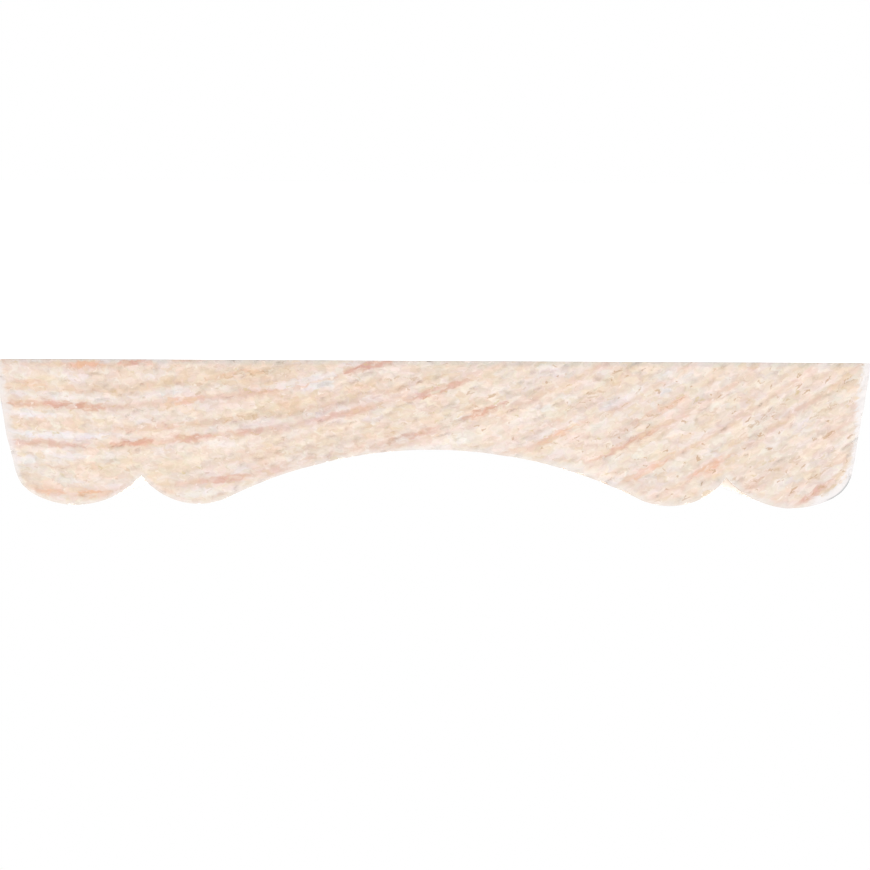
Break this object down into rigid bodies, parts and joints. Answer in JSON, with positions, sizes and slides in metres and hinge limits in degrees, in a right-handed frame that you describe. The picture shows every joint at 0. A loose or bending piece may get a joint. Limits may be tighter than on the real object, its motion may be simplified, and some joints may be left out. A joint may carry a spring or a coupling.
{
  "type": "decorative moulding strip",
  "caption": "Flat-backed pine moulding strip with rounded beads, V grooves and a wide shallow cove along its face, cut square at both ends.",
  "frame": {"origin": "middle of the flat back, half way along the strip", "axes": "+Z out of the back through the moulded face, Y along the strip, X across it"},
  "size_m": [0.06, 1, 0.01],
  "materials": {
    "pine": "matte"
  },
  "bodies": {
    "root": {"moulding_strip": "pine"}
  },
  "joints": []
}
